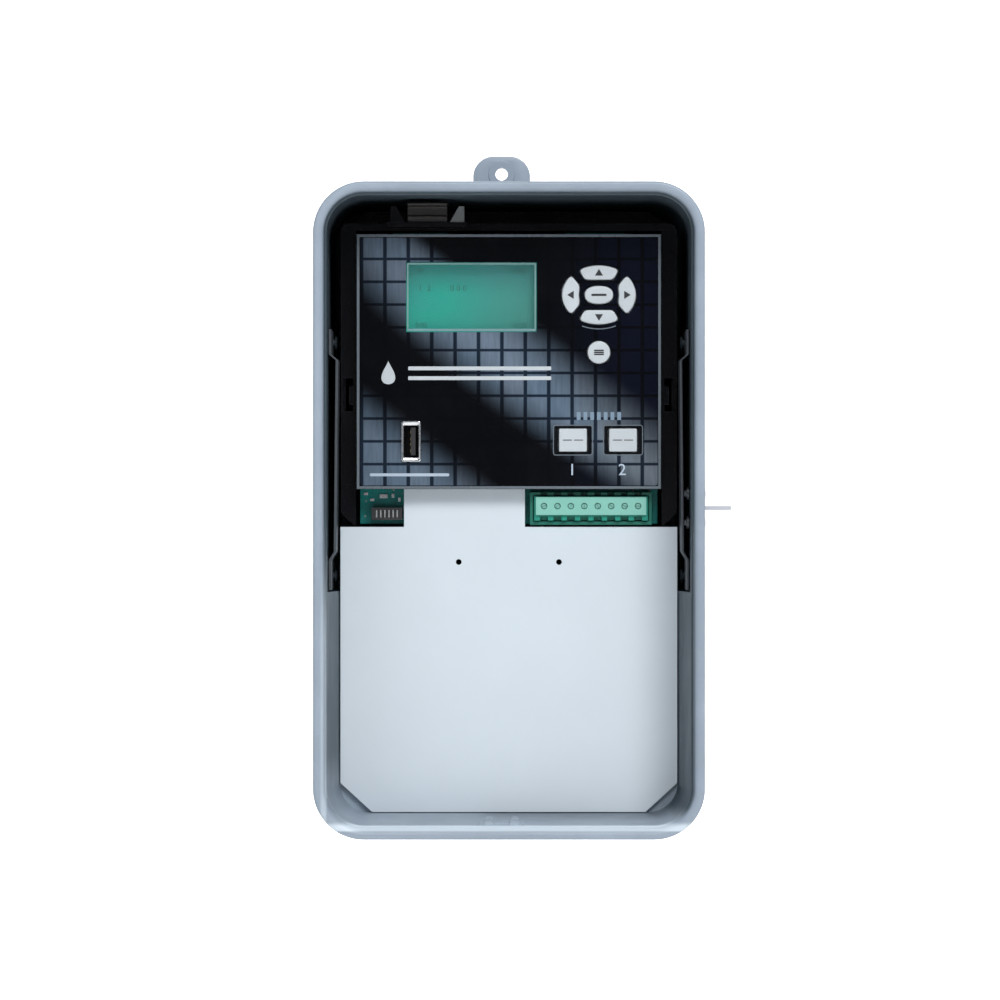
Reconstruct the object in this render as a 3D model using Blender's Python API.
"""Wall-mounted two-circuit controller in an open moulded box, modelled as its separate pieces.

Lengths are in millimetres and are scaled to metres as each mesh is made.
+X is to the right, +Z is up, and the front faces -Y.
The origin is the middle of the box's flat back face, where it meets the wall.
"""

import math

import bmesh
import bpy

MM = 0.001
GAP = 0.3  # air between neighbours that touch on the real object

# ---- enclosure -----------------------------------------------------------------------------
BOX_W = 146.0
BOX_H = 245.0
BOX_D = 95.0
BOX_CORNER = 19.0
BEAD_W = 5.5
WALL_INSET = 2.2  # outer wall face, measured in from the edge of the rim bead
WALL_INNER = 5.0  # inner wall face, measured the same way
BACK_T = 3.0
CENTRE_FEATURE_X = -2.7  # the hanging ear and the cover catch sit a little left of the middle
EAR_HALF_W = 11.2
EAR_TOP = 138.9
EAR_ROOT = 6.0  # how far the ear reaches down into the top wall
EAR_CORNER = 8.0
EAR_T = 3.5
EAR_BACK = -0.25  # the ear's rear stands this far off the wall
EAR_HOLE_Z = 131.8
EAR_HOLE_R = 2.45
CONDUIT_R = 11.1
REAR_CONDUIT_R = 14.1
CONDUIT_X = 32.0
CONDUIT_Y = -42.0
REAR_CONDUIT_Z = -58.0
KNOCKOUT_T = 2.0
KNOCKOUT_SINK = 0.6  # how far a knockout disc sits in from the outer face
REAR_KNOCKOUT_Y = (-2.8, -0.4)
FOOT_HOLE_X = 47.0
FOOT_HOLE_Z = -100.0
FOOT_HOLE_R = 2.65
CATCH_HALF_W = 8.4
CATCH_Y = (-88.0, -78.0)
CATCH_H = 1.0
CATCH_BUMP_X = 4.8
CATCH_BUMP_HALF_W = 1.6
CATCH_BUMP_Y = (-88.6, -80.0)
CATCH_BUMP_H = 2.8
SUPPORT_X = 40.0  # posts that the module's back rests on
SUPPORT_Z = (70.0, 10.0)
SUPPORT_R = 4.0
WELD = 0.5  # how far a joined feature reaches into what carries it

# ---- side rails ----------------------------------------------------------------------------
RAIL_FRONT = -78.0
RAIL_REAR = -36.0
RAIL_T = 1.0
STAKE_Y = -56.0
STAKE_Z = (63.5, -25.0)
STAKE_R = 1.5
STAKE_LENGTH = 2.2
STAKE_HEAD = (2.0, 2.8)  # the formed head's start and end, measured from the wall
STAKE_HEAD_R = 2.8
RAIL_OUTER = 0.8  # middle line of the rail's flat ends, in from the wall
RAIL_INNER = (3.4, 2.7)  # middle line of its proud stretch, upper and lower end
RAIL_STEPS_Z = (68.0, 58.6, 56.4, -15.5, -18.6, -30.0)

# ---- padlock tab ---------------------------------------------------------------------------
HASP_TIP = 83.0
HASP_Z = 0.9
HASP_T = 1.6
HASP_Y = (-87.0, -69.0)
HASP_EYE_R = 3.6
HASP_EYE_X = 77.9
HASP_FLANGE = (0.4, 1.8)  # the flange's faces, out from the side wall
HASP_FLANGE_HALF_H = 9.0
RIVET_Y = -78.0
RIVET_OFFSET_Z = 5.5
RIVET_R = 1.3
RIVET_HOLE_R = 1.6
RIVET_SHANK = (-5.0, 2.6)  # ends, out from the side wall
RIVET_HEAD = (2.1, 3.0)
RIVET_HEAD_R = (2.6, 1.8)
RIVET_CLENCH = (-4.1, -3.1)
RIVET_CLENCH_R = 2.4

# ---- ground bar ----------------------------------------------------------------------------
GROUND_HALF_W = 30.0
GROUND_Y = (-14.0, -8.0)
GROUND_Z = -84.0
GROUND_HALF_H = 4.0
GROUND_SCREWS_X = (-18.0, -6.0, 6.0, 18.0)
GROUND_SCREW_R = 1.55
GROUND_HOLE_R = 1.9
GROUND_SHANK_Y = (-14.6, -8.6)
GROUND_HEAD_Y = (-16.6, -14.3)
GROUND_HEAD_R = 3.3
GROUND_SLOT_DEPTH = 0.8
GROUND_SLOT_HALF_W = 0.5
GROUND_POST_X = 26.0
GROUND_POST_R = 3.5

# ---- plug-in module ------------------------------------------------------------------------
MODULE_HALF_W = 63.6
BASE_BACK = -10.0
BASE_T = 2.4
BASE_TOP = 116.5
BASE_FOOT = -62.0
BASE_STEP_X = 57.0  # the base is narrower than the wings below this
BASE_STEP_Z = (-4.0, -1.0)
BASE_SHOULDER_X = 55.0
BASE_SHOULDER_Z = 106.0
SIDE_WALL_X = 61.8
SIDE_WALL_Z = (-0.8, 106.4)
FLANGE_FRONT = -63.8
FLANGE_T = 1.8
FLANGE_INNER_X = 57.9
FLANGE_FOOT_X = 58.8
FLANGE_FOOT_Z = -5.6
SIDE_WINDOW_X = (58.9, 62.7)
SIDE_WINDOW_Z = (37.5, 50.0)
SIDE_WINDOW_DEPTH = 3.0
SHELF_Z = 107.0
SHELF_T = 1.6
SHELF_FRONT = -71.5
SHELF_HALF_W = 61.9
SHELF_LIP_HALF_W = 62.9
SHELF_LIP_REAR = -55.0
SHELF_NOSE_X = (-46.0, -16.0)
GUSSETS_X = ((-44.6, -38.8), (-16.8, -22.6))  # outer and inner end of each
GUSSET_H = 6.6
GUSSET_FLAT = 0.35  # share of a gusset's length that is at full height
GUSSET_T = 1.6
POWER_POST_X = 48.0
POWER_POST_Z = (54.0, -52.0)
POWER_POST_R = 3.5
POWER_PILOT_R = 1.2
POWER_HOLE_R = 1.5
PANEL_HALF_W = 57.5
PANEL_TOP = 104.3
PANEL_FOOT = 8.0
PANEL_FRONT = -69.0
PANEL_T = 2.4
PANEL_EDGE_W = 1.0
PANEL_EDGE_FRONT = -69.2
OVERLAY_T = 0.5
SKIRT_REAR = -58.0
SKIRT_T = 2.0
LUG_TIP = 60.6
LUG_Y = (-61.6, -59.4)
LUG_Z = (40.0, 47.0)
BOARD_T = 1.6
BOARD_FRONT = -57.7
BOARD_HALF_W = 56.5
BOARD_Z = (-5.2, 103.4)
BOARD_TAB_TOP = 105.5
BOARD_TABS_X = ((44.0, 21.3), (-23.0, -44.2))
POWER_BOARD_FRONT = -19.6
POWER_BOARD_HALF_W = 54.0
POWER_BOARD_Z = (-58.0, 60.0)
BOSS_X = 52.0
BOSS_Z = (14.0, 98.0)
BOSS_R = 2.8
BOSS_PILOT_R = 1.3
BOARD_HOLE_R = 1.5
BOARD_SCREW_R = 1.0
BOARD_SCREW_TIP = -62.0
BOARD_SCREW_HEAD = (0.3, 2.2)
BOARD_SCREW_HEAD_R = (2.6, 2.0)
LATCH_X = (-38.2, -23.2)
LATCH_ROOT_Z = 2.4  # height of the flexing root above the shelf's underside
LATCH_FACE = 0.8  # front of the finger, back from the shelf's front
LATCH_T = 1.6
LATCH_HEAD_Z = (114.6, 115.9)
LATCH_HEAD_REACH = (2.2, 2.6)  # forward of the finger's front, and back of its rear
LATCH_RIB_Z = 110.8

# ---- display, keys and socket --------------------------------------------------------------
LCD_X = -14.1
LCD_Z = 80.5
LCD_HALF_W = 24.7
LCD_HALF_H = 13.2
WINDOW_SINK = 0.1
WINDOW_T = 1.4
LCD_FRAME_HALF = (29.0, 16.6)
LCD_FRAME_Y = (-65.4, -60.9)
LCD_VIEW_HALF = (25.2, 13.6)
LCD_POCKET_HALF = (28.2, 15.8)
LCD_POCKET_FRONT = -64.8
LCD_GLASS_HALF = (27.8, 15.4)
LCD_GLASS_Y = (-64.5, -62.7)
BACKLIGHT_HALF = (27.4, 15.0)
BACKLIGHT_Y = (-62.4, -60.9)
LCD_BOARD_HALF = (31.0, 19.0)
LCD_BOARD_Y = (-60.5, -58.9)
USB_X = -36.9
USB_Z = 26.0
USB_HOLE_HALF = (3.3, 7.1)
USB_SLEEVE_HALF = (3.0, 6.8)
USB_RIM_HALF = (3.75, 7.7)
USB_RIM_T = 0.5
USB_MOUTH_HALF = (2.8, 6.3)
USB_BORE_HALF = (2.5, 5.9)
USB_BORE_REAR = -60.5
USB_TONGUE_X = (-0.2, 1.7)
USB_TONGUE_Y = (-68.4, -60.8)
USB_TONGUE_HALF_H = 5.3
PAD_X = 34.0
PAD_Z = 81.3
PAD_HALF_W = 13.95
PAD_HALF_H = 11.15
UPPER_KEY_SPAN = 65.2  # degrees of the pad's edge that the upper and lower keys each take
UPPER_KEY_INNER = (5.4, 5.7)
SIDE_KEY_SPAN = 83.0
SIDE_KEY_INNER = ((7.2, 3.5), (7.6, 0.0), (7.2, -3.5))
ARC_STEPS = 8
ENTER_HALF = (5.4, 3.4)
MENU_Z = 59.6
MENU_R = 4.3
CIRCUIT_X = (24.2, 43.1)
CIRCUIT_Z = 26.5
CIRCUIT_HALF_W = 5.25
CIRCUIT_HALF_H = 4.35
KEY_PROUD = 0.9
KEY_TRAVEL = 0.8
KEY_CLEAR = 0.35
KEY_FLANGE = 0.8
KEY_FLANGE_T = 1.0
KEY_EDGE = 0.35
FILM_CLEAR = 0.5
CIRCUIT_FILM_CLEAR = 1.35
MAT_X = (18.6, 49.4)
MAT_Z = (19.0, 95.0)
MAT_T = 1.2
DOME_X = (22.0, 46.0)  # domes stay between these, so that they stand on the sheet
DOME_R = (2.6, 1.7)
DOME_AIR = 0.9

# ---- low-voltage connectors ----------------------------------------------------------------
PLUG_X = 31.1
PLUG_Z = 0.7
POLES = 8
POLE_PITCH = 5.08
HEADER_HALF = (23.1, 6.2)
HEADER_FRONT = -64.0
POCKET_HALF = (21.8, 4.9)
POCKET_REAR = -59.8
KEYWAY_HALF_W = 1.2
KEYWAY_REAR = -61.6
PLUG_HALF = (21.5, 4.6)
PLUG_Y = (-65.6, -60.1)
PLUG_ORIGIN_Y = -62.8
WIRE_ENTRY_HALF_W = 1.5
WIRE_ENTRY_REAR = -62.4
WIRE_ENTRY_TOP = 2.9  # below the plug's middle
LABEL_HALF_W = 20.9
LABEL_Y = (-66.5, -65.9)
LABEL_Z = (-2.5, 4.3)  # about the plug's middle
OPTION_X = (-52.0, -40.4)
OPTION_Z = (-3.6, 1.0)
OPTION_DEPTH = 5.0
OPTION_SLOTS = 6
OPTION_SLOT_SPAN = 9.4
OPTION_SLOT_HALF_W = 0.5
OPTION_SLOT_DEPTH = 3.0
OPTION_SLOT_Z = (-2.8, 0.2)

# ---- power section -------------------------------------------------------------------------
CHIP_HALF = 7.0
CHIP_Z = 65.0
CHIP_T = 1.6
BATTERY_CENTRE = (32.0, 66.0)
BATTERY_R = 10.0
BATTERY_T = 4.0
RELAY_X = (-27.0, 27.0)
RELAY_Z = -16.0
RELAY_HALF = (13.5, 16.0)
RELAY_H = 20.0
RELAY_CORNER = 1.2
RELAY_EDGE = 0.6
TRANSFORMER = (-24.0, 33.0)
CORE_HALF = (21.0, 17.5)
CORE_STAND = (6.0, 22.0)  # off the board, rear face and front face
CORE_WINDOW_HALF = (14.0, 11.5)
WINDING_HALF = (13.7, 11.2)
WINDING_H = 27.0
WINDING_CORNER = 3.0
CAPACITOR = (36.0, 40.0)
CAPACITOR_R = 6.3
CAPACITOR_H = 20.0
ARRESTER_X = (36.0, 40.5)
ARRESTER_Z = 18.0
ARRESTER_R = 7.0
ARRESTER_STAND = 9.0
LINE_HALF_W = 47.0
LINE_Z = (-57.0, -41.0)
LINE_POLES = 7
LINE_BARRIER = 1.6
LINE_BARRIER_H = 17.0
LINE_FLOOR_H = 10.0
RIBBON_SOCKET_X = (4.0, 30.0)
RIBBON_SOCKET_HALF_H = 3.0
RIBBON_SOCKET_DEPTH = 8.0
RIBBON_X = (5.5, 28.5)
RIBBON_Z = 22.0
RIBBON_T = 0.9
RIBBON_SAG = 5.0
RIBBON_STEPS = 16

# ---- dead-front shield ---------------------------------------------------------------------
SHIELD_HALF_W = 63.8
SHIELD_TOP = -6.3
SHIELD_FOOT = -114.3
SHIELD_FRONT = -63.2
SHIELD_T = 1.2
SHIELD_TAB_X = (-39.7, 6.1)
SHIELD_CHAMFER_X = 12.0
SHIELD_CHAMFER_Z = 11.0
HINGE_Y = -62.6
SHIELD_HOLE_X = 19.0
SHIELD_HOLE_Z = -19.6
SHIELD_HOLE_R = 1.1
HINGE_Z = 10.4
KNUCKLE_R = 1.9
HINGE_PIN_R = 0.75
HINGE_BORE_R = 1.05
HINGE_LUG_W = 1.7
HINGE_LUG_HALF_H = 2.2
HINGE_LUG_REACH = 2.4  # behind the hinge's axis
RELIEF_FRONT = -69.0  # the swing relief slopes back and up from here, behind the panel's lower edge
RELIEF_H = 3.0


def remove_everything():
    for old in list(bpy.data.objects):
        bpy.data.objects.remove(old, do_unlink=True)


def material(name, colour, roughness, metallic=0.0, alpha=1.0):
    made = bpy.data.materials.new(name)
    made.use_nodes = True
    shader = made.node_tree.nodes["Principled BSDF"]
    shader.inputs["Base Color"].default_value = (*colour, 1.0)
    shader.inputs["Roughness"].default_value = roughness
    shader.inputs["Metallic"].default_value = metallic
    shader.inputs["Alpha"].default_value = alpha
    return made


# ---- outlines in the X-Z plane, anticlockwise as seen from the front ------------------------


def rectangle(low_x, high_x, low_z, high_z):
    return [(low_x, low_z), (high_x, low_z), (high_x, high_z), (low_x, high_z)]


def rounded_rectangle(half_w, half_h, radius, steps=7, centre=(0.0, 0.0)):
    points = []
    corners = ((1, 1, 0), (-1, 1, 90), (-1, -1, 180), (1, -1, 270))
    for side_x, side_z, start in corners:
        for step in range(steps + 1):
            turn = math.radians(start + 90.0 * step / steps)
            x = side_x * (half_w - radius) + radius * math.cos(turn)
            z = side_z * (half_h - radius) + radius * math.sin(turn)
            points.append((centre[0] + x, centre[1] + z))
    return points


def ellipse(half_w, half_h, centre, steps=24, power=2.0):
    """An ellipse, or a squarer superellipse where power is above 2."""
    points = []
    for step in range(steps):
        turn = 2.0 * math.pi * step / steps
        c, s = math.cos(turn), math.sin(turn)
        x = math.copysign(abs(c) ** (2.0 / power), c)
        z = math.copysign(abs(s) ** (2.0 / power), s)
        points.append((centre[0] + half_w * x, centre[1] + half_h * z))
    return points


def turned_outline(outline, centre, quarter_turns):
    for _ in range(quarter_turns):
        outline = [(centre[0] - (z - centre[1]), centre[1] + (x - centre[0])) for x, z in outline]
    return outline


def offset_outline(outline, distance):
    """The outline grown by distance, each corner moved along its mitre."""
    grown = []
    count = len(outline)
    for i, (x, z) in enumerate(outline):
        before = outline[i - 1]
        after = outline[(i + 1) % count]
        normals = []
        for a, b in ((before, (x, z)), ((x, z), after)):
            along_x, along_z = b[0] - a[0], b[1] - a[1]
            length = math.hypot(along_x, along_z)
            normals.append((along_z / length, -along_x / length))
        sum_x = normals[0][0] + normals[1][0]
        sum_z = normals[0][1] + normals[1][1]
        reach = 2.0 * distance / (sum_x**2 + sum_z**2)
        grown.append((x + sum_x * reach, z + sum_z * reach))
    return grown


# ---- solids added to a bmesh ---------------------------------------------------------------


def add_loft(bm, outlines):
    """A closed solid through (outline, y) stations, each with as many points, capped at both ends."""
    rings = [[bm.verts.new((x, y, z)) for x, z in outline] for outline, y in outlines]
    count = len(rings[0])
    faces = [bm.faces.new(rings[0]), bm.faces.new(list(reversed(rings[-1])))]
    for near, far in zip(rings, rings[1:]):
        for i in range(count):
            j = (i + 1) % count
            faces.append(bm.faces.new((near[i], far[i], far[j], near[j])))
    bmesh.ops.recalc_face_normals(bm, faces=faces)


def add_prism(bm, outline, y_front, y_back):
    add_loft(bm, [(outline, y_front), (outline, y_back)])


def add_box(bm, x, y, z):
    """A block between the pairs x, y and z."""
    add_prism(bm, rectangle(min(x), max(x), min(z), max(z)), min(y), max(y))


def add_bar(bm, start, end, radius, sides=16, end_radius=None):
    """A round bar or cone between two points that differ along one axis only."""
    axis = max(range(3), key=lambda i: abs(end[i] - start[i]))
    u, v = [i for i in range(3) if i != axis]
    rings = []
    for point, r in ((start, radius), (end, radius if end_radius is None else end_radius)):
        ring = []
        for step in range(sides):
            turn = 2.0 * math.pi * (step + 0.5) / sides
            place = list(point)
            place[u] += r * math.cos(turn)
            place[v] += r * math.sin(turn)
            ring.append(bm.verts.new(place))
        rings.append(ring)
    faces = [bm.faces.new(rings[0]), bm.faces.new(list(reversed(rings[1])))]
    for i in range(sides):
        j = (i + 1) % sides
        faces.append(bm.faces.new((rings[0][i], rings[1][i], rings[1][j], rings[0][j])))
    bmesh.ops.recalc_face_normals(bm, faces=faces)


def add_slab(bm, outline_yz, x_low, x_high):
    """An outline of (y, z) points extruded along X."""
    ends = [[bm.verts.new((x, y, z)) for y, z in outline_yz] for x in (x_low, x_high)]
    faces = [bm.faces.new(ends[0]), bm.faces.new(list(reversed(ends[1])))]
    count = len(outline_yz)
    for i in range(count):
        j = (i + 1) % count
        faces.append(bm.faces.new((ends[0][i], ends[1][i], ends[1][j], ends[0][j])))
    bmesh.ops.recalc_face_normals(bm, faces=faces)


# ---- objects -------------------------------------------------------------------------------


def world_place(obj):
    place = [0.0, 0.0, 0.0]
    while obj is not None:
        place = [a + b for a, b in zip(place, obj.location)]
        obj = obj.parent
    return place


def make(name, bm, surface, origin=(0.0, 0.0, 0.0), parent=None):
    """Turns the bmesh, in millimetres, into an object whose origin is at the given point."""
    for vert in bm.verts:
        vert.co = [(a - b) * MM for a, b in zip(vert.co, origin)]
    bm.normal_update()
    mesh = bpy.data.meshes.new(name)
    bm.to_mesh(mesh)
    bm.free()
    mesh.shade_smooth()
    mesh.set_sharp_from_angle(angle=math.radians(32.0))
    if surface is not None:
        mesh.materials.append(surface)
    obj = bpy.data.objects.new(name, mesh)
    bpy.context.scene.collection.objects.link(obj)
    base = world_place(parent) if parent else (0.0, 0.0, 0.0)
    obj.parent = parent
    obj.location = [a * MM - b for a, b in zip(origin, base)]
    return obj


def joint_empty(name, origin, parent=None):
    empty = bpy.data.objects.new(name, None)
    bpy.context.scene.collection.objects.link(empty)
    base = world_place(parent) if parent else (0.0, 0.0, 0.0)
    empty.parent = parent
    empty.location = [a * MM - b for a, b in zip(origin, base)]
    return empty


def combine(obj, bm, operation, origin=(0.0, 0.0, 0.0)):
    """Adds a Boolean to obj with the bmesh as its hidden tool."""
    tool = make(f"{obj.name}_{operation.lower()}_tool", bm, None, origin, obj.parent)
    tool.hide_render = True
    tool.display_type = "WIRE"
    boolean = obj.modifiers.new(operation.title(), "BOOLEAN")
    boolean.operation = operation
    boolean.solver = "EXACT"
    boolean.use_self = True
    boolean.object = tool


# ---- enclosure and what is fixed to it -------------------------------------------------------


def box_station(inset):
    radius = max(BOX_CORNER - inset, 8.0)
    return rounded_rectangle(BOX_W / 2 - inset, BOX_H / 2 - inset, radius)


def build_enclosure(surface):
    profile = (
        (WALL_INSET + 4.0, 0.0),
        (WALL_INSET + 1.4, -0.8),
        (WALL_INSET + 0.5, -2.8),
        (WALL_INSET, 6.4 - BOX_D),
        (0.6, 5.8 - BOX_D),
        (0.0, 4.3 - BOX_D),
        (0.0, 2.4 - BOX_D),
        (0.5, 1.0 - BOX_D),
        (1.6, 0.2 - BOX_D),
        (2.6, -BOX_D),
        (3.8, 0.2 - BOX_D),
        (BEAD_W - 0.6, 1.0 - BOX_D),
        (BEAD_W, 2.4 - BOX_D),
        (BEAD_W, 3.6 - BOX_D),
        (WALL_INNER, 4.6 - BOX_D),
        (WALL_INNER, -BACK_T - 1.6),
        (WALL_INNER + 1.6, -BACK_T),
    )
    bm = bmesh.new()
    add_loft(bm, [(box_station(inset), y) for inset, y in profile])
    enclosure = make("enclosure", bm, surface)
    combine(enclosure, enclosure_additions(), "UNION")
    combine(enclosure, enclosure_cuts(), "DIFFERENCE")
    return enclosure


def enclosure_additions():
    bm = bmesh.new()
    ear_low = BOX_H / 2 - EAR_ROOT
    ear_mid = (EAR_TOP + ear_low) / 2
    ear_centre = (CENTRE_FEATURE_X, ear_mid)
    ear = rounded_rectangle(EAR_HALF_W, EAR_TOP - ear_mid, EAR_CORNER, steps=5, centre=ear_centre)
    add_prism(bm, ear, -EAR_T, EAR_BACK)
    floor = -BOX_H / 2 + WALL_INNER
    wall = BOX_W / 2 - WALL_INNER
    base = -BACK_T + WELD
    x = CENTRE_FEATURE_X
    add_box(bm, (x - CATCH_HALF_W, x + CATCH_HALF_W), CATCH_Y, (floor - WELD, floor + CATCH_H))
    for side in (-1, 1):
        x = CENTRE_FEATURE_X + side * CATCH_BUMP_X
        bump_x = (x - CATCH_BUMP_HALF_W, x + CATCH_BUMP_HALF_W)
        add_box(bm, bump_x, CATCH_BUMP_Y, (floor - WELD + 0.1, floor + CATCH_BUMP_H))
        for z in STAKE_Z:
            tip = (side * (wall - STAKE_LENGTH), STAKE_Y, z)
            add_bar(bm, (side * (wall + WELD), STAKE_Y, z), tip, STAKE_R, 12)
            head = [(side * (wall - reach), STAKE_Y, z) for reach in STAKE_HEAD]
            add_bar(bm, *head, STAKE_HEAD_R, 12)
        x = side * SUPPORT_X
        for z in SUPPORT_Z:
            add_bar(bm, (x, base, z), (x, BASE_BACK + GAP, z), SUPPORT_R, 12)
        x = side * GROUND_POST_X
        add_bar(bm, (x, base, GROUND_Z), (x, GROUND_Y[1] + GAP, GROUND_Z), GROUND_POST_R, 12)
    return bm


def enclosure_cuts():
    bm = bmesh.new()
    hole = (CENTRE_FEATURE_X, EAR_HOLE_Z)
    add_bar(bm, (hole[0], -EAR_T - 1, hole[1]), (hole[0], 1, hole[1]), EAR_HOLE_R, 20)
    outer_floor = -BOX_H / 2
    for side in (-1, 1):
        add_bar(
            bm,
            (side * CONDUIT_X, CONDUIT_Y, outer_floor),
            (side * CONDUIT_X, CONDUIT_Y, outer_floor + WALL_INNER + 1.0),
            CONDUIT_R + GAP,
            28,
        )
        add_bar(
            bm,
            (side * FOOT_HOLE_X, -BACK_T - 2, FOOT_HOLE_Z),
            (side * FOOT_HOLE_X, 1, FOOT_HOLE_Z),
            FOOT_HOLE_R,
            16,
        )
    add_bar(bm, (0, -BACK_T - 2, REAR_CONDUIT_Z), (0, 1, REAR_CONDUIT_Z), REAR_CONDUIT_R + GAP, 32)
    wall = BOX_W / 2 - WALL_INSET
    for z in (HASP_Z - RIVET_OFFSET_Z, HASP_Z + RIVET_OFFSET_Z):
        add_bar(bm, (wall - 8.0, RIVET_Y, z), (wall + 4.0, RIVET_Y, z), RIVET_HOLE_R, 12)
    return bm


def build_rail(name, side, surface):
    wall = BOX_W / 2 - WALL_INNER
    insets = (RAIL_OUTER, RAIL_OUTER, *RAIL_INNER, RAIL_OUTER, RAIL_OUTER)
    middle_line = [(wall - inset, z) for inset, z in zip(insets, RAIL_STEPS_Z)]
    half = RAIL_T / 2
    outline = [(side * (x - half), z) for x, z in middle_line]
    outline += [(side * (x + half), z) for x, z in reversed(middle_line)]
    bm = bmesh.new()
    add_prism(bm, outline, RAIL_FRONT, RAIL_REAR)
    rail = make(name, bm, surface)
    cuts = bmesh.new()
    for z in STAKE_Z:
        ends = [(side * (wall + reach), STAKE_Y, z) for reach in (-8.0, 7.0)]
        add_bar(cuts, *ends, STAKE_R + GAP, 12)
    combine(rail, cuts, "DIFFERENCE")


def build_hasp(tab_surface, rivet_surface):
    wall = BOX_W / 2 - WALL_INSET
    flange_x = (wall + HASP_FLANGE[0], wall + HASP_FLANGE[1])
    bm = bmesh.new()
    add_box(bm, (flange_x[0], HASP_TIP), HASP_Y, (HASP_Z - HASP_T / 2, HASP_Z + HASP_T / 2))
    tab = make("hasp_tab", bm, tab_surface)
    flange = bmesh.new()
    add_box(flange, flange_x, HASP_Y, (HASP_Z - HASP_FLANGE_HALF_H, HASP_Z + HASP_FLANGE_HALF_H))
    combine(tab, flange, "UNION")
    rivets = {"hasp_rivet_lower": HASP_Z - RIVET_OFFSET_Z, "hasp_rivet_upper": HASP_Z + RIVET_OFFSET_Z}
    cuts = bmesh.new()
    eye_y = sum(HASP_Y) / 2
    add_bar(cuts, (HASP_EYE_X, eye_y, HASP_Z - 3), (HASP_EYE_X, eye_y, HASP_Z + 3), HASP_EYE_R, 20)
    for z in rivets.values():
        add_bar(cuts, (wall - 2, RIVET_Y, z), (wall + 4, RIVET_Y, z), RIVET_HOLE_R, 12)
    combine(tab, cuts, "DIFFERENCE")
    for name, z in rivets.items():
        bm = bmesh.new()
        add_bar(bm, *[(wall + reach, RIVET_Y, z) for reach in RIVET_SHANK], RIVET_R, 12)
        rivet = make(name, bm, rivet_surface)
        heads = bmesh.new()
        head = [(wall + reach, RIVET_Y, z) for reach in RIVET_HEAD]
        add_bar(heads, *head, RIVET_HEAD_R[0], 12, RIVET_HEAD_R[1])
        add_bar(heads, *[(wall + reach, RIVET_Y, z) for reach in RIVET_CLENCH], RIVET_CLENCH_R, 12)
        combine(rivet, heads, "UNION")


def build_ground_bar(bar_surface, screw_surface):
    z_pair = (GROUND_Z - GROUND_HALF_H, GROUND_Z + GROUND_HALF_H)
    bm = bmesh.new()
    add_box(bm, (-GROUND_HALF_W, GROUND_HALF_W), GROUND_Y, z_pair)
    bar = make("ground_bar", bm, bar_surface)
    cuts = bmesh.new()
    for x in GROUND_SCREWS_X:
        ends = [(x, y, GROUND_Z) for y in (GROUND_Y[0] - 2, GROUND_Y[1] + 2)]
        add_bar(cuts, *ends, GROUND_HOLE_R, 12)
    combine(bar, cuts, "DIFFERENCE")
    for number, x in enumerate(GROUND_SCREWS_X, start=1):
        bm = bmesh.new()
        add_bar(bm, *[(x, y, GROUND_Z) for y in GROUND_SHANK_Y], GROUND_SCREW_R, 12)
        screw = make(f"ground_screw_{number}", bm, screw_surface)
        head = bmesh.new()
        add_bar(head, *[(x, y, GROUND_Z) for y in GROUND_HEAD_Y], GROUND_HEAD_R, 16)
        combine(screw, head, "UNION")
        slot = bmesh.new()
        slot_y = (GROUND_HEAD_Y[0] - 1, GROUND_HEAD_Y[0] + GROUND_SLOT_DEPTH)
        slot_z = (GROUND_Z - GROUND_SLOT_HALF_W, GROUND_Z + GROUND_SLOT_HALF_W)
        add_box(slot, (x - GROUND_HEAD_R - 1, x + GROUND_HEAD_R + 1), slot_y, slot_z)
        combine(screw, slot, "DIFFERENCE")


def build_knockouts(surface):
    outer = -BOX_H / 2 + WALL_INSET + KNOCKOUT_SINK
    for name, side in (("knockout_left", -1), ("knockout_right", 1)):
        bm = bmesh.new()
        x = side * CONDUIT_X
        add_bar(bm, (x, CONDUIT_Y, outer), (x, CONDUIT_Y, outer + KNOCKOUT_T), CONDUIT_R, 28)
        make(name, bm, surface)
    bm = bmesh.new()
    add_bar(bm, *[(0, y, REAR_CONDUIT_Z) for y in REAR_KNOCKOUT_Y], REAR_CONDUIT_R, 32)
    make("knockout_rear", bm, surface)


# ---- module shell ----------------------------------------------------------------------------


def build_module_base(surface, module):
    back_front = BASE_BACK - BASE_T
    bm = bmesh.new()
    right = [
        (BASE_STEP_X, BASE_FOOT),
        (BASE_STEP_X, BASE_STEP_Z[0]),
        (MODULE_HALF_W, BASE_STEP_Z[1]),
        (MODULE_HALF_W, BASE_SHOULDER_Z),
        (BASE_SHOULDER_X, BASE_TOP),
    ]
    left = [(-x, z) for x, z in reversed(right)]
    add_prism(bm, right + left, back_front, BASE_BACK)
    base = make("module_base", bm, surface, parent=module)
    combine(base, module_base_additions(back_front), "UNION")
    cuts = bmesh.new()
    for side in (-1, 1):
        window_x = [side * x for x in SIDE_WINDOW_X]
        add_box(cuts, window_x, (FLANGE_FRONT - 1, FLANGE_FRONT + SIDE_WINDOW_DEPTH), SIDE_WINDOW_Z)
        x = side * POWER_POST_X
        for z in POWER_POST_Z:
            add_bar(cuts, (x, POWER_BOARD_FRONT, z), (x, back_front - 1.0, z), POWER_PILOT_R, 8)
    combine(base, cuts, "DIFFERENCE")


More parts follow.
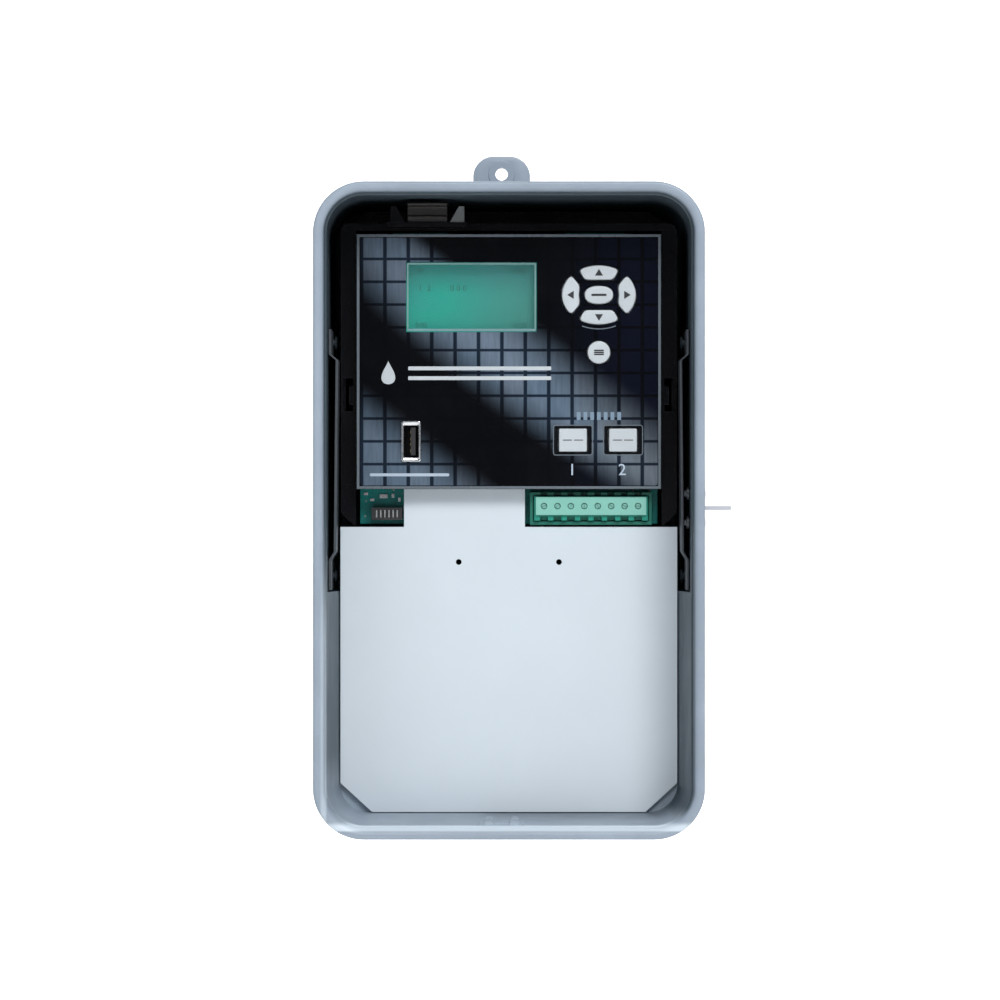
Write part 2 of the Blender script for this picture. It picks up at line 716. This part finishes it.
def module_base_additions(back_front):
    bm = bmesh.new()
    base_z, top_z = SIDE_WALL_Z
    inside = back_front + WELD
    edge = MODULE_HALF_W - 0.01  # just inside the side wall's face, so that no faces coincide
    wing = [(FLANGE_INNER_X, top_z), (FLANGE_INNER_X, FLANGE_FOOT_Z), (FLANGE_FOOT_X, FLANGE_FOOT_Z)]
    wing += [(edge, base_z), (edge, top_z)]
    for side in (-1, 1):
        wall_x = (side * MODULE_HALF_W, side * SIDE_WALL_X)
        add_box(bm, wall_x, (FLANGE_FRONT + FLANGE_T / 2, inside), SIDE_WALL_Z)
        add_prism(bm, [(side * x, z) for x, z in wing], FLANGE_FRONT, FLANGE_FRONT + FLANGE_T)
        x = side * POWER_POST_X
        post_front = POWER_BOARD_FRONT + BOARD_T + GAP
        for z in POWER_POST_Z:
            add_bar(bm, (x, inside, z), (x, post_front, z), POWER_POST_R, 12)
    shelf_z = (SHELF_Z, SHELF_Z + SHELF_T)
    lip_z = (top_z - WELD, SHELF_Z + SHELF_T / 2)
    front = FLANGE_FRONT + GAP
    add_box(bm, (-SHELF_HALF_W, SHELF_HALF_W), (front, inside), shelf_z)
    add_box(bm, (-SHELF_LIP_HALF_W, SHELF_LIP_HALF_W), (front, SHELF_LIP_REAR), lip_z)
    add_box(bm, SHELF_NOSE_X, (SHELF_FRONT, FLANGE_FRONT + 1.0), shelf_z)
    low, high = SHELF_Z + 1.0, SHELF_Z + 1.0 + GUSSET_H
    for outer, inner in GUSSETS_X:
        flat_end = outer + GUSSET_FLAT * (inner - outer)
        gusset = [(outer, low), (inner, low), (flat_end, high), (outer, high)]
        add_prism(bm, gusset, SHELF_FRONT + 0.4, SHELF_FRONT + 0.4 + GUSSET_T)
    return bm


def build_latch(surface, module):
    front, rear = SHELF_FRONT + LATCH_FACE, SHELF_FRONT + LATCH_FACE + LATCH_T
    pivot = (sum(LATCH_X) / 2, (front + rear) / 2, SHELF_Z + LATCH_ROOT_Z)
    head_low, head_top = LATCH_HEAD_Z
    head_front, head_rear = front - LATCH_HEAD_REACH[0], rear + LATCH_HEAD_REACH[1]
    bm = bmesh.new()
    profile = [
        (front, pivot[2] - 0.5),
        (rear, pivot[2] - 0.5),
        (rear, head_low),
        (head_rear, head_low),
        (head_rear, head_top),
        (head_front, head_top),
        (head_front, head_low + 0.5),
        (front, head_low - 0.4),
        (front, LATCH_RIB_Z + 0.4),
        (front - 0.9, LATCH_RIB_Z),
        (front, LATCH_RIB_Z - 0.4),
    ]
    add_slab(bm, profile, LATCH_X[0], LATCH_X[1])
    make("latch_tab", bm, surface, origin=pivot, parent=module)


def pad_arc(middle_degrees, span_degrees):
    """Points along the pad's oval edge."""
    points = []
    for step in range(ARC_STEPS + 1):
        turn = math.radians(middle_degrees + span_degrees * (step / ARC_STEPS - 0.5))
        points.append((PAD_X + PAD_HALF_W * math.cos(turn), PAD_Z + PAD_HALF_H * math.sin(turn)))
    return points


def key_outlines():
    """Each key's outline, by node name."""
    centre = (PAD_X, PAD_Z)
    inner_x, inner_z = UPPER_KEY_INNER
    upper = pad_arc(90.0, UPPER_KEY_SPAN)
    upper += [(PAD_X - inner_x, PAD_Z + inner_z), (PAD_X + inner_x, PAD_Z + inner_z)]
    right = pad_arc(0.0, SIDE_KEY_SPAN)
    right += [(PAD_X + x, PAD_Z + z) for x, z in SIDE_KEY_INNER]
    outlines = {
        "key_up": upper,
        "key_down": turned_outline(upper, centre, 2),
        "key_right": right,
        "key_left": turned_outline(right, centre, 2),
        "key_enter": ellipse(*ENTER_HALF, centre, power=2.3),
        "key_menu": ellipse(MENU_R, MENU_R, (PAD_X, MENU_Z)),
    }
    for number, x in enumerate(CIRCUIT_X, start=1):
        outlines[f"key_circuit_{number}"] = rounded_rectangle(
            CIRCUIT_HALF_W, CIRCUIT_HALF_H, 0.8, steps=3, centre=(x, CIRCUIT_Z)
        )
    return outlines


def outline_middle(outline):
    xs, zs = zip(*outline)
    return (min(xs) + max(xs)) / 2, (min(zs) + max(zs)) / 2


def build_keys(surface, module):
    front = PANEL_FRONT - KEY_PROUD
    flange = PANEL_FRONT + OVERLAY_T + GAP + PANEL_T + GAP
    for name, outline in key_outlines().items():
        middle_x, middle_z = outline_middle(outline)
        skirt = offset_outline(outline, KEY_FLANGE)
        bm = bmesh.new()
        stations = [
            (offset_outline(outline, -KEY_EDGE), front),
            (outline, front + KEY_EDGE),
            (outline, flange),
            (skirt, flange),
            (skirt, flange + KEY_FLANGE_T),
        ]
        add_loft(bm, stations)
        make(name, bm, surface, origin=(middle_x, front, middle_z), parent=module)


def build_face_panel(surface, module):
    plate_front = PANEL_FRONT + OVERLAY_T + GAP
    plate_rear = plate_front + PANEL_T
    bm = bmesh.new()
    add_box(bm, (-PANEL_HALF_W, PANEL_HALF_W), (plate_front, plate_rear), (PANEL_FOOT, PANEL_TOP))
    panel = make("face_panel", bm, surface, parent=module)
    combine(panel, face_panel_additions(plate_front, plate_rear), "UNION")
    combine(panel, face_panel_cuts(plate_front, plate_rear), "DIFFERENCE")


def face_panel_additions(plate_front, plate_rear):
    bm = bmesh.new()
    edge_y = (PANEL_EDGE_FRONT, plate_front + 0.4)
    skirt_y = (plate_rear - 0.4, SKIRT_REAR)
    whole_z = (PANEL_FOOT, PANEL_TOP)
    for side in (-1, 1):
        x = side * PANEL_HALF_W
        add_box(bm, (x, x - side * PANEL_EDGE_W), edge_y, whole_z)
        add_box(bm, (x, x - side * SKIRT_T), skirt_y, whole_z)
        add_box(bm, (x - side * WELD, side * LUG_TIP), LUG_Y, LUG_Z)
        for z in BOSS_Z:
            add_bar(bm, *[(side * BOSS_X, y, z) for y in skirt_y], BOSS_R, 12)
    inner = (WELD - PANEL_HALF_W, PANEL_HALF_W - WELD)
    add_box(bm, inner, edge_y, (PANEL_TOP - PANEL_EDGE_W, PANEL_TOP))
    add_box(bm, inner, edge_y, (PANEL_FOOT, PANEL_FOOT + PANEL_EDGE_W))
    add_box(bm, inner, skirt_y, (PANEL_TOP - SKIRT_T, PANEL_TOP))
    lug_y = (skirt_y[0], HINGE_Y + HINGE_LUG_REACH)
    lug_z = (HINGE_Z - HINGE_LUG_HALF_H, HINGE_Z + HINGE_LUG_HALF_H)
    for x in (SHIELD_TAB_X[0] - GAP - HINGE_LUG_W, SHIELD_TAB_X[1] + GAP):
        add_box(bm, (x, x + HINGE_LUG_W), lug_y, lug_z)
    return bm


def face_panel_cuts(plate_front, plate_rear):
    bm = bmesh.new()
    front, rear = plate_front - 1.5, plate_rear + 1.0
    for outline in key_outlines().values():
        add_prism(bm, offset_outline(outline, KEY_CLEAR), front, rear)
    add_window_and_socket(bm, front, rear)
    for side in (-1, 1):
        for z in BOSS_Z:
            pilot = [(side * BOSS_X, y, z) for y in (plate_rear + 1.5, SKIRT_REAR + 2)]
            add_bar(bm, *pilot, BOSS_PILOT_R, 8)
    tab_left, tab_right = SHIELD_TAB_X
    add_bar(bm, (tab_left - 4, HINGE_Y, HINGE_Z), (tab_right + 4, HINGE_Y, HINGE_Z), HINGE_BORE_R, 12)
    relief = [
        (RELIEF_FRONT, PANEL_FOOT - 0.5),
        (plate_rear + 0.5, PANEL_FOOT - 0.5),
        (plate_rear + 0.5, PANEL_FOOT + RELIEF_H),
    ]
    add_slab(bm, relief, tab_left - GAP, tab_right + GAP)
    return bm


def add_window_and_socket(bm, front, rear):
    """The display and data port openings, between two depths."""
    window_x = (LCD_X - LCD_HALF_W, LCD_X + LCD_HALF_W)
    add_box(bm, window_x, (front, rear), (LCD_Z - LCD_HALF_H, LCD_Z + LCD_HALF_H))
    half_w, half_h = USB_HOLE_HALF
    add_box(bm, (USB_X - half_w, USB_X + half_w), (front, rear), (USB_Z - half_h, USB_Z + half_h))


def build_overlay(surface, module):
    border = PANEL_EDGE_W + GAP
    inner = PANEL_HALF_W - border
    y_pair = (PANEL_FRONT, PANEL_FRONT + OVERLAY_T)
    bm = bmesh.new()
    add_box(bm, (-inner, inner), y_pair, (PANEL_FOOT + border, PANEL_TOP - border))
    overlay = make("face_overlay", bm, surface, parent=module)
    cuts = bmesh.new()
    front, rear = PANEL_FRONT - 1.0, PANEL_FRONT + OVERLAY_T + 1.0
    for name, outline in key_outlines().items():
        margin = CIRCUIT_FILM_CLEAR if "circuit" in name else FILM_CLEAR
        add_prism(cuts, offset_outline(outline, margin), front, rear)
    add_window_and_socket(cuts, front, rear)
    combine(overlay, cuts, "DIFFERENCE")


# ---- display stack ---------------------------------------------------------------------------


def build_display(surfaces, module):
    def add_layer(bm, half, y_pair):
        add_box(bm, (LCD_X - half[0], LCD_X + half[0]), y_pair, (LCD_Z - half[1], LCD_Z + half[1]))

    def layer(name, half, y_pair, surface):
        bm = bmesh.new()
        add_layer(bm, half, y_pair)
        return make(name, bm, surface, parent=module)

    window_front = PANEL_FRONT + WINDOW_SINK
    window_half = (LCD_HALF_W - GAP, LCD_HALF_H - GAP)
    layer("display_window", window_half, (window_front, window_front + WINDOW_T), surfaces["clear"])
    frame = layer("lcd_frame", LCD_FRAME_HALF, LCD_FRAME_Y, surfaces["frame"])
    cuts = bmesh.new()
    add_layer(cuts, LCD_VIEW_HALF, (LCD_FRAME_Y[0] - 0.6, LCD_POCKET_FRONT + 0.8))
    add_layer(cuts, LCD_POCKET_HALF, (LCD_POCKET_FRONT, LCD_FRAME_Y[1] + 0.9))
    combine(frame, cuts, "DIFFERENCE")
    layer("lcd_glass", LCD_GLASS_HALF, LCD_GLASS_Y, surfaces["lcd"])
    layer("backlight", BACKLIGHT_HALF, BACKLIGHT_Y, surfaces["backlight"])
    layer("lcd_board", LCD_BOARD_HALF, LCD_BOARD_Y, surfaces["board"])


def build_keypad_mat(surface, module):
    key_rear = PANEL_FRONT + OVERLAY_T + GAP + PANEL_T + GAP + KEY_FLANGE_T
    mat_front = key_rear + KEY_TRAVEL + 0.4
    mat_rear = mat_front + MAT_T
    bm = bmesh.new()
    add_box(bm, MAT_X, (mat_front, mat_rear), MAT_Z)
    mat = make("keypad_mat", bm, surface, parent=module)
    domes = bmesh.new()
    for outline in key_outlines().values():
        x, z = outline_middle(outline)
        x = min(max(x, DOME_X[0]), DOME_X[1])
        root, tip = (x, mat_rear - GAP, z), (x, BOARD_FRONT - DOME_AIR, z)
        add_bar(domes, root, tip, DOME_R[0], 12, DOME_R[1])
    combine(mat, domes, "UNION")


def build_usb(shell_surface, tongue_surface, module):
    def station(half, y):
        return rounded_rectangle(*half, 0.7, steps=2, centre=(USB_X, USB_Z)), y

    lip = PANEL_FRONT - GAP
    stations = [
        station(USB_SLEEVE_HALF, BOARD_FRONT - GAP),
        station(USB_SLEEVE_HALF, lip),
        station(USB_RIM_HALF, lip),
        station(USB_RIM_HALF, lip - USB_RIM_T),
        station(USB_MOUTH_HALF, lip - USB_RIM_T),
        station(USB_BORE_HALF, lip + 0.8),
        station(USB_BORE_HALF, USB_BORE_REAR),
    ]
    bm = bmesh.new()
    add_loft(bm, stations)
    make("usb_shell", bm, shell_surface, parent=module)
    bm = bmesh.new()
    tongue_x = [USB_X + x for x in USB_TONGUE_X]
    tongue_z = (USB_Z - USB_TONGUE_HALF_H, USB_Z + USB_TONGUE_HALF_H)
    add_box(bm, tongue_x, USB_TONGUE_Y, tongue_z)
    make("usb_tongue", bm, tongue_surface, parent=module)


# ---- electronics -----------------------------------------------------------------------------


def build_front_board(surfaces, module):
    rear = BOARD_FRONT + BOARD_T
    foot, top = BOARD_Z
    outline = [(-BOARD_HALF_W, foot), (BOARD_HALF_W, foot), (BOARD_HALF_W, top)]
    for right, left in BOARD_TABS_X:
        outline += [(right, top), (right, BOARD_TAB_TOP), (left, BOARD_TAB_TOP), (left, top)]
    outline += [(-BOARD_HALF_W, top)]
    bm = bmesh.new()
    add_prism(bm, outline, BOARD_FRONT, rear)
    board = make("front_board", bm, surfaces["board"], parent=module)
    cuts = bmesh.new()
    for side in (-1, 1):
        for z in BOSS_Z:
            hole = [(side * BOSS_X, y, z) for y in (BOARD_FRONT - 2, rear + 2)]
            add_bar(cuts, *hole, BOARD_HOLE_R, 10)
    combine(board, cuts, "DIFFERENCE")
    number = 0
    for side in (-1, 1):
        for z in BOSS_Z:
            number += 1
            bm = bmesh.new()
            shank = [(side * BOSS_X, y, z) for y in (BOARD_SCREW_TIP, rear + 0.6)]
            add_bar(bm, *shank, BOARD_SCREW_R, 10)
            screw = make(f"board_screw_{number}", bm, surfaces["steel"], parent=module)
            head = bmesh.new()
            ends = [(side * BOSS_X, rear + reach, z) for reach in BOARD_SCREW_HEAD]
            add_bar(head, *ends, BOARD_SCREW_HEAD_R[0], 12, BOARD_SCREW_HEAD_R[1])
            combine(screw, head, "UNION")
    seat = rear + GAP
    bm = bmesh.new()
    add_box(bm, (-CHIP_HALF, CHIP_HALF), (seat, seat + CHIP_T), (CHIP_Z - CHIP_HALF, CHIP_Z + CHIP_HALF))
    make("microcontroller", bm, surfaces["chip"], parent=module)
    x, z = BATTERY_CENTRE
    bm = bmesh.new()
    add_bar(bm, (x, seat, z), (x, seat + BATTERY_T, z), BATTERY_R, 24)
    make("backup_battery", bm, surfaces["steel"], parent=module)


def build_option_header(surface, module):
    front = BOARD_FRONT - OPTION_DEPTH
    bm = bmesh.new()
    add_box(bm, OPTION_X, (front, BOARD_FRONT - GAP), OPTION_Z)
    header = make("option_header", bm, surface, parent=module)
    cuts = bmesh.new()
    pitch = OPTION_SLOT_SPAN / OPTION_SLOTS
    first = (sum(OPTION_X) - OPTION_SLOT_SPAN + pitch) / 2
    for slot in range(OPTION_SLOTS):
        x = first + slot * pitch
        slot_x = (x - OPTION_SLOT_HALF_W, x + OPTION_SLOT_HALF_W)
        add_box(cuts, slot_x, (front - 1.0, front + OPTION_SLOT_DEPTH), OPTION_SLOT_Z)
    combine(header, cuts, "DIFFERENCE")


def pole_places():
    """The X of each pole of the low-voltage block."""
    return [PLUG_X + (pole - (POLES - 1) / 2) * POLE_PITCH for pole in range(POLES)]


def build_terminal(surfaces, module):
    def add_block(bm, half, y_pair):
        add_box(bm, (PLUG_X - half[0], PLUG_X + half[0]), y_pair, (PLUG_Z - half[1], PLUG_Z + half[1]))

    open_front = HEADER_FRONT - 1
    bm = bmesh.new()
    add_block(bm, HEADER_HALF, (HEADER_FRONT, BOARD_FRONT - GAP))
    header = make("terminal_header", bm, surfaces["green"], parent=module)
    pocket = bmesh.new()
    add_block(pocket, POCKET_HALF, (open_front, POCKET_REAR))
    keyway_z = (PLUG_Z + POCKET_HALF[1] - 0.1, PLUG_Z + HEADER_HALF[1] + 0.8)
    for x in pole_places():
        add_box(pocket, (x - KEYWAY_HALF_W, x + KEYWAY_HALF_W), (open_front, KEYWAY_REAR), keyway_z)
    combine(header, pocket, "DIFFERENCE")
    centre = (PLUG_X, PLUG_ORIGIN_Y, PLUG_Z)
    plug_joint = joint_empty("plug_joint", centre, module)
    bm = bmesh.new()
    add_block(bm, PLUG_HALF, PLUG_Y)
    plug = make("terminal_plug", bm, surfaces["green"], centre, plug_joint)
    entries = bmesh.new()
    entry_y = (PLUG_Y[0] - 1.4, WIRE_ENTRY_REAR)
    entry_z = (PLUG_Z - PLUG_HALF[1] - 0.6, PLUG_Z - WIRE_ENTRY_TOP)
    for x in pole_places():
        add_box(entries, (x - WIRE_ENTRY_HALF_W, x + WIRE_ENTRY_HALF_W), entry_y, entry_z)
    combine(plug, entries, "DIFFERENCE", centre)
    bm = bmesh.new()
    label_z = [PLUG_Z + z for z in LABEL_Z]
    add_box(bm, (PLUG_X - LABEL_HALF_W, PLUG_X + LABEL_HALF_W), LABEL_Y, label_z)
    make("terminal_label", bm, surfaces["label"], centre, plug_joint)


def build_power_section(surfaces, module):
    front, rear = POWER_BOARD_FRONT, POWER_BOARD_FRONT + BOARD_T
    mount = front - GAP
    bm = bmesh.new()
    add_box(bm, (-POWER_BOARD_HALF_W, POWER_BOARD_HALF_W), (front, rear), POWER_BOARD_Z)
    board = make("power_board", bm, surfaces["board"], parent=module)
    cuts = bmesh.new()
    for x in (-POWER_POST_X, POWER_POST_X):
        for z in POWER_POST_Z:
            add_bar(cuts, (x, front - 1, z), (x, rear + 1, z), POWER_HOLE_R, 8)
    combine(board, cuts, "DIFFERENCE")
    half_w, half_h = RELAY_HALF
    for number, x in enumerate(RELAY_X, start=1):
        body = rounded_rectangle(half_w, half_h, RELAY_CORNER, steps=2, centre=(x, RELAY_Z))
        top = offset_outline(body, -RELAY_EDGE)
        bm = bmesh.new()
        add_loft(bm, [(top, mount - RELAY_H - RELAY_EDGE), (body, mount - RELAY_H), (body, mount)])
        make(f"relay_{number}", bm, surfaces["relay"], parent=module)
    build_transformer(surfaces, module, mount)
    x, z = CAPACITOR
    bm = bmesh.new()
    add_bar(bm, (x, mount, z), (x, mount - CAPACITOR_H, z), CAPACITOR_R, 20)
    make("supply_capacitor", bm, surfaces["can"], parent=module)
    bm = bmesh.new()
    disc = [(x, mount - ARRESTER_STAND, ARRESTER_Z) for x in ARRESTER_X]
    add_bar(bm, *disc, ARRESTER_R, 20)
    make("surge_arrester", bm, surfaces["disc"], parent=module)
    build_line_block(surfaces["block"], module, mount)


def build_transformer(surfaces, module, mount):
    x, z = TRANSFORMER
    core_rear, core_front = (mount - stand for stand in CORE_STAND)
    half_w, half_h = CORE_HALF
    bm = bmesh.new()
    add_box(bm, (x - half_w, x + half_w), (core_front, core_rear), (z - half_h, z + half_h))
    core = make("transformer_core", bm, surfaces["core"], parent=module)
    window = bmesh.new()
    half_w, half_h = CORE_WINDOW_HALF
    add_box(window, (x - half_w, x + half_w), (core_front - 2, core_rear + 2), (z - half_h, z + half_h))
    combine(core, window, "DIFFERENCE")
    bm = bmesh.new()
    body = rounded_rectangle(*WINDING_HALF, WINDING_CORNER, steps=3, centre=(x, z))
    add_prism(bm, body, mount - WINDING_H, mount)
    make("transformer_winding", bm, surfaces["winding"], parent=module)


def build_line_block(surface, module, mount):
    pitch = (2 * LINE_HALF_W - LINE_BARRIER) / LINE_POLES
    top, floor = mount - LINE_BARRIER_H, mount - LINE_FLOOR_H
    outline = [(-LINE_HALF_W, mount), (-LINE_HALF_W, top)]
    for pole in range(LINE_POLES):
        left = -LINE_HALF_W + LINE_BARRIER + pole * pitch
        right = left + pitch - LINE_BARRIER
        outline += [(left, top), (left, floor), (right, floor), (right, top)]
    outline += [(LINE_HALF_W, top), (LINE_HALF_W, mount)]
    bm = bmesh.new()
    ends = [[bm.verts.new((x, y, z)) for x, y in outline] for z in LINE_Z]
    faces = [bm.faces.new(ends[0]), bm.faces.new(list(reversed(ends[1])))]
    for i in range(len(outline)):
        j = (i + 1) % len(outline)
        faces.append(bm.faces.new((ends[0][i], ends[1][i], ends[1][j], ends[0][j])))
    bmesh.ops.recalc_face_normals(bm, faces=faces)
    make("line_terminal_block", bm, surface, parent=module)


def build_ribbon(surfaces, module):
    low_y, high_y = BOARD_FRONT + BOARD_T + GAP, POWER_BOARD_FRONT - GAP
    socket_z = (RIBBON_Z - RIBBON_SOCKET_HALF_H, RIBBON_Z + RIBBON_SOCKET_HALF_H)
    sockets = {
        "ribbon_socket_front": (low_y, low_y + RIBBON_SOCKET_DEPTH),
        "ribbon_socket_rear": (high_y - RIBBON_SOCKET_DEPTH, high_y),
    }
    for name, y_pair in sockets.items():
        bm = bmesh.new()
        add_box(bm, RIBBON_SOCKET_X, y_pair, socket_z)
        make(name, bm, surfaces["chip"], parent=module)
    start = sockets["ribbon_socket_front"][1] + GAP
    end = sockets["ribbon_socket_rear"][0] - GAP
    centre_line = []
    for step in range(RIBBON_STEPS + 1):
        part = step / RIBBON_STEPS
        y = start + (end - start) * part
        centre_line.append((y, RIBBON_Z - RIBBON_SAG * math.sin(math.pi * part) ** 2))
    outline = [(y, height - RIBBON_T / 2) for y, height in centre_line]
    outline += [(y, height + RIBBON_T / 2) for y, height in reversed(centre_line)]
    bm = bmesh.new()
    add_slab(bm, outline, *RIBBON_X)
    make("ribbon_cable", bm, surfaces["ribbon"], parent=module)


# ---- dead-front shield -----------------------------------------------------------------------


def build_shield(surface, pin_surface, module):
    hinge = (sum(SHIELD_TAB_X) / 2, HINGE_Y, HINGE_Z)
    left, right = SHIELD_TAB_X
    tab_top = HINGE_Z - 1.4  # inside the knuckle
    outline = [
        (left, tab_top),
        (left, SHIELD_TOP),
        (-SHIELD_HALF_W, SHIELD_TOP),
        (-SHIELD_HALF_W, SHIELD_FOOT + SHIELD_CHAMFER_Z),
        (-SHIELD_HALF_W + SHIELD_CHAMFER_X, SHIELD_FOOT),
        (SHIELD_HALF_W - SHIELD_CHAMFER_X, SHIELD_FOOT),
        (SHIELD_HALF_W, SHIELD_FOOT + SHIELD_CHAMFER_Z),
        (SHIELD_HALF_W, SHIELD_TOP),
        (right, SHIELD_TOP),
        (right, tab_top),
    ]
    bm = bmesh.new()
    add_prism(bm, outline, SHIELD_FRONT, SHIELD_FRONT + SHIELD_T)
    shield = make("dead_front_shield", bm, surface, origin=hinge, parent=module)
    knuckle = bmesh.new()
    add_bar(knuckle, (left, HINGE_Y, HINGE_Z), (right, HINGE_Y, HINGE_Z), KNUCKLE_R, 16)
    combine(shield, knuckle, "UNION", hinge)
    cuts = bmesh.new()
    add_bar(cuts, (left - 1, HINGE_Y, HINGE_Z), (right + 1, HINGE_Y, HINGE_Z), HINGE_BORE_R, 12)
    for x in (-SHIELD_HOLE_X, SHIELD_HOLE_X):
        hole = [(x, y, SHIELD_HOLE_Z) for y in (SHIELD_FRONT - 1, SHIELD_FRONT + 3)]
        add_bar(cuts, *hole, SHIELD_HOLE_R, 14)
    combine(shield, cuts, "DIFFERENCE", hinge)
    bm = bmesh.new()
    reach = GAP + HINGE_LUG_W - 0.1
    add_bar(bm, (left - reach, HINGE_Y, HINGE_Z), (right + reach, HINGE_Y, HINGE_Z), HINGE_PIN_R, 12)
    make("shield_hinge_pin", bm, pin_surface, parent=module)


def main():
    remove_everything()
    grey_shell = material("grey_shell", (0.33, 0.39, 0.45), 0.45)
    rail_grey = material("rail_grey", (0.20, 0.24, 0.28), 0.40)
    black_base = material("black_base", (0.010, 0.010, 0.012), 0.45)
    steel = material("steel", (0.60, 0.60, 0.58), 0.30, 1.0)
    brass = material("brass", (0.72, 0.52, 0.22), 0.32, 1.0)
    white_sheet = material("white_sheet", (0.68, 0.74, 0.79), 0.50)
    key_white = material("key_white", (0.72, 0.74, 0.74), 0.50)
    connector_green = material("connector_green", (0.010, 0.17, 0.095), 0.40)
    surfaces = {
        "steel": steel,
        "clear": material("clear_window", (0.85, 0.92, 0.90), 0.08, alpha=0.3),
        "frame": material("display_frame", (0.02, 0.02, 0.02), 0.35, 1.0),
        "lcd": material("display_glass", (0.045, 0.36, 0.27), 0.25),
        "backlight": material("display_backlight", (0.60, 0.85, 0.60), 0.50),
        "board": material("circuit_board", (0.010, 0.13, 0.085), 0.40),
        "chip": material("chip_black", (0.02, 0.02, 0.02), 0.50),
        "green": connector_green,
        "label": material("marker_strip", (0.22, 0.70, 0.52), 0.50),
        "relay": material("relay_case", (0.03, 0.03, 0.035), 0.40),
        "can": material("capacitor_can", (0.05, 0.07, 0.16), 0.35),
        "disc": material("arrester_disc", (0.06, 0.14, 0.42), 0.45),
        "core": material("core_iron", (0.16, 0.15, 0.14), 0.50, 1.0),
        "winding": material("winding_tape", (0.75, 0.60, 0.16), 0.45),
        "block": material("terminal_black", (0.015, 0.015, 0.015), 0.45),
        "ribbon": material("ribbon_grey", (0.45, 0.46, 0.48), 0.55),
    }

    build_enclosure(grey_shell)
    build_rail("left_rail", -1, rail_grey)
    build_rail("right_rail", 1, rail_grey)
    build_hasp(steel, material("rivet_steel", (0.5, 0.5, 0.5), 0.35, 1.0))
    build_ground_bar(brass, steel)
    build_knockouts(grey_shell)

    module = joint_empty("module_joint", (0.0, BASE_BACK, 0.0))
    build_module_base(black_base, module)
    build_latch(black_base, module)
    build_face_panel(material("panel_black", (0.012, 0.012, 0.016), 0.40), module)
    build_overlay(material("overlay_print", (0.030, 0.036, 0.060), 0.28), module)
    build_display(surfaces, module)
    build_keypad_mat(material("keypad_rubber", (0.05, 0.05, 0.055), 0.70), module)
    build_keys(key_white, module)
    build_usb(material("socket_metal", (0.75, 0.76, 0.78), 0.22, 1.0), surfaces["chip"], module)
    build_front_board(surfaces, module)
    build_option_header(surfaces["chip"], module)
    build_terminal(surfaces, module)
    build_power_section(surfaces, module)
    build_ribbon(surfaces, module)
    build_shield(white_sheet, steel, module)


main()
